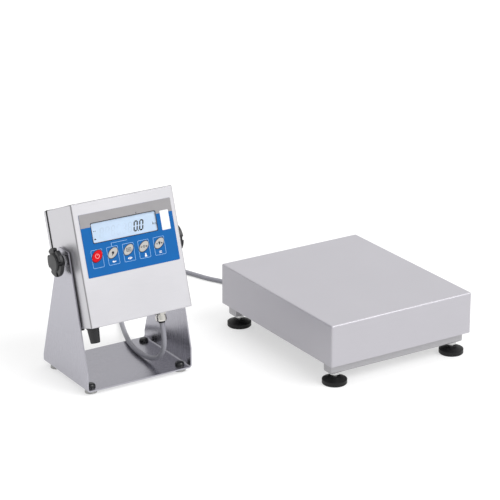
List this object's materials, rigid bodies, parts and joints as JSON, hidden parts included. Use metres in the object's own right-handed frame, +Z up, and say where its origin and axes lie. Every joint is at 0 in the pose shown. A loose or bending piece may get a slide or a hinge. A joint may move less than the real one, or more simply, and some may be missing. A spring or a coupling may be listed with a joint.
{
  "type": "washdown scale",
  "caption": "Stainless bench scale for wet rooms: a weighing pan on a low levelling base, with a tilting display head on its own stand, joined by a cable.",
  "frame": {"origin": "on the floor, in the middle of the footprint of platform and stand", "axes": "+X to the right along the front, from the display head to the platform; -Y is the front; +Z is up"},
  "size_m": [0.574, 0.5571, 0.2761],
  "materials": {
    "stainless_pan": "fine brushed",
    "stainless_frame": "mill finish",
    "stainless_stand": "brushed",
    "stainless_head": "bead blasted",
    "steel_fastener": "bright",
    "cell_aluminium": "anodised",
    "black_plastic": "moulded, fine grain",
    "foot_rubber": "matt",
    "pale_rubber": "translucent, matt",
    "gasket_rubber": "matt",
    "overlay_blue": "screen printed film",
    "key_grey": "silicone",
    "key_red": "silicone",
    "window_clear": "clear",
    "display_panel": "backlit",
    "board_green": "solder mask",
    "battery_grey": "moulded",
    "gland_nickel": "nickel plated",
    "cable_grey": "matt sheath"
  },
  "bodies": {
    "base": {"front_cross_tube": "stainless_frame", "rear_cross_tube": "stainless_frame", "tube_end_caps": "stainless_frame", "centre_beam": "stainless_frame", "foot_inserts": "steel_fastener", "lock_nuts": "steel_fastener", "load_cell": "cell_aluminium", "cell_spacers": "steel_fastener", "load_cell_screws": "steel_fastener", "support_spine": "stainless_frame", "support_front_bar": "stainless_frame", "support_rear_bar": "stainless_frame", "pan_pads": "foot_rubber", "overload_stops": "steel_fastener", "cable_grommet": "foot_rubber", "stand_bracket": "stainless_stand", "stand_feet": "pale_rubber", "foot_caps": "foot_rubber", "sensor_cable_run": "cable_grey"},
    "head": {"housing_shell": "stainless_head", "cover_gasket": "gasket_rubber", "rear_cover": "stainless_head", "cover_screws": "steel_fastener", "keypad_overlay": "overlay_blue", "display_window": "window_clear", "display_module": "display_panel", "main_board": "board_green", "board_spacers": "steel_fastener", "key_switches": "black_plastic", "battery": "battery_grey", "battery_shelf": "stainless_frame", "pivot_inserts": "steel_fastener", "friction_washers": "black_plastic", "gland_body": "gland_nickel", "gland_nut": "gland_nickel", "gland_seal": "foot_rubber", "connector_socket": "black_plastic", "vent_plug": "black_plastic", "sensor_cable_drop": "cable_grey"},
    "pan": {"weighing_pan": "stainless_pan"},
    "connector_cap": {"connector_cap": "black_plastic"},
    "power_key": {"power_key": "key_red"},
    "function_key": {"function_key": "key_grey"},
    "print_key": {"print_key": "key_grey"},
    "zero_key": {"zero_key": "key_grey"},
    "tare_key": {"tare_key": "key_grey"},
    "left_knob_washer": {"left_knob_washer": "steel_fastener"},
    "left_knob": {"left_knob": "black_plastic", "left_knob_stud": "steel_fastener"},
    "right_knob_washer": {"right_knob_washer": "steel_fastener"},
    "right_knob": {"right_knob": "black_plastic", "right_knob_stud": "steel_fastener"},
    "foot_pad_front_left": {"foot_pad_front_left": "foot_rubber"},
    "foot_stem_front_left": {"foot_stem_front_left": "steel_fastener"},
    "foot_pad_front_right": {"foot_pad_front_right": "foot_rubber"},
    "foot_stem_front_right": {"foot_stem_front_right": "steel_fastener"},
    "foot_pad_rear_left": {"foot_pad_rear_left": "foot_rubber"},
    "foot_stem_rear_left": {"foot_stem_rear_left": "steel_fastener"},
    "foot_pad_rear_right": {"foot_pad_rear_right": "foot_rubber"},
    "foot_stem_rear_right": {"foot_stem_rear_right": "steel_fastener"}
  },
  "joints": [
    {"name": "head_tilt", "type": "hinge", "parent": "base", "child": "head", "pos_m": [-0.1835, 0.079, 0.1875], "axis": [-1, 0, 0], "range_deg": [-17.8, 30], "deforming": ["sensor_cable_drop"]},
    {"name": "pan_lift", "type": "slide", "parent": "base", "child": "pan", "axis": [0, 0, 1], "range_m": [0, 0.08]},
    {"name": "connector_cap_pull", "type": "slide", "parent": "head", "child": "connector_cap", "axis": [0, -0.3057, -0.9521], "range_m": [0, 0.025]},
    {"name": "power_key_press", "type": "slide", "parent": "head", "child": "power_key", "axis": [0, 0.9521, -0.3057], "range_m": [0, 0.0008], "stiffness_N_per_m": 800},
    {"name": "function_key_press", "type": "slide", "parent": "head", "child": "function_key", "axis": [0, 0.9521, -0.3057], "range_m": [0, 0.0008], "stiffness_N_per_m": 800},
    {"name": "print_key_press", "type": "slide", "parent": "head", "child": "print_key", "axis": [0, 0.9521, -0.3057], "range_m": [0, 0.0008], "stiffness_N_per_m": 800},
    {"name": "zero_key_press", "type": "slide", "parent": "head", "child": "zero_key", "axis": [0, 0.9521, -0.3057], "range_m": [0, 0.0008], "stiffness_N_per_m": 800},
    {"name": "tare_key_press", "type": "slide", "parent": "head", "child": "tare_key", "axis": [0, 0.9521, -0.3057], "range_m": [0, 0.0008], "stiffness_N_per_m": 800},
    {"name": "left_knob_travel", "type": "slide", "parent": "base", "child": "left_knob_washer", "axis": [-1, 0, 0], "range_m": [0, 0.0025]},
    {"name": "left_knob_turn", "type": "hinge", "parent": "left_knob_washer", "child": "left_knob", "pos_m": [-0.1835, 0.079, 0.1875], "axis": [-1, 0, 0], "range_deg": [-1, 721]},
    {"name": "right_knob_travel", "type": "slide", "parent": "base", "child": "right_knob_washer", "axis": [1, 0, 0], "range_m": [0, 0.0025]},
    {"name": "right_knob_turn", "type": "hinge", "parent": "right_knob_washer", "child": "right_knob", "pos_m": [-0.1835, 0.079, 0.1875], "axis": [1, 0, 0], "range_deg": [-1, 721]},
    {"name": "foot_front_left_height", "type": "slide", "parent": "base", "child": "foot_pad_front_left", "axis": [0, 0, -1], "range_m": [-0.0025, 0.00625]},
    {"name": "foot_front_left_turn", "type": "hinge", "parent": "foot_pad_front_left", "child": "foot_stem_front_left", "pos_m": [0.0565, -0.131, 0.02], "axis": [0, 0, -1], "range_deg": [-721, 1801]},
    {"name": "foot_front_right_height", "type": "slide", "parent": "base", "child": "foot_pad_front_right", "axis": [0, 0, -1], "range_m": [-0.0025, 0.00625]},
    {"name": "foot_front_right_turn", "type": "hinge", "parent": "foot_pad_front_right", "child": "foot_stem_front_right", "pos_m": [0.2675, -0.131, 0.02], "axis": [0, 0, -1], "range_deg": [-721, 1801]},
    {"name": "foot_rear_left_height", "type": "slide", "parent": "base", "child": "foot_pad_rear_left", "axis": [0, 0, -1], "range_m": [-0.0025, 0.00625]},
    {"name": "foot_rear_left_turn", "type": "hinge", "parent": "foot_pad_rear_left", "child": "foot_stem_rear_left", "pos_m": [0.0565, 0.129, 0.02], "axis": [0, 0, -1], "range_deg": [-721, 1801]},
    {"name": "foot_rear_right_height", "type": "slide", "parent": "base", "child": "foot_pad_rear_right", "axis": [0, 0, -1], "range_m": [-0.0025, 0.00625]},
    {"name": "foot_rear_right_turn", "type": "hinge", "parent": "foot_pad_rear_right", "child": "foot_stem_rear_right", "pos_m": [0.2675, 0.129, 0.02], "axis": [0, 0, -1], "range_deg": [-721, 1801]}
  ],
  "couplings": [
    {"joint": "left_knob_turn", "follows": "left_knob_travel", "rad_per_m": 5026.5},
    {"joint": "right_knob_turn", "follows": "right_knob_travel", "rad_per_m": 5026.5},
    {"joint": "foot_front_left_turn", "follows": "foot_front_left_height", "rad_per_m": 5026.5},
    {"joint": "foot_front_right_turn", "follows": "foot_front_right_height", "rad_per_m": 5026.5},
    {"joint": "foot_rear_left_turn", "follows": "foot_rear_left_height", "rad_per_m": 5026.5},
    {"joint": "foot_rear_right_turn", "follows": "foot_rear_right_height", "rad_per_m": 5026.5}
  ]
}
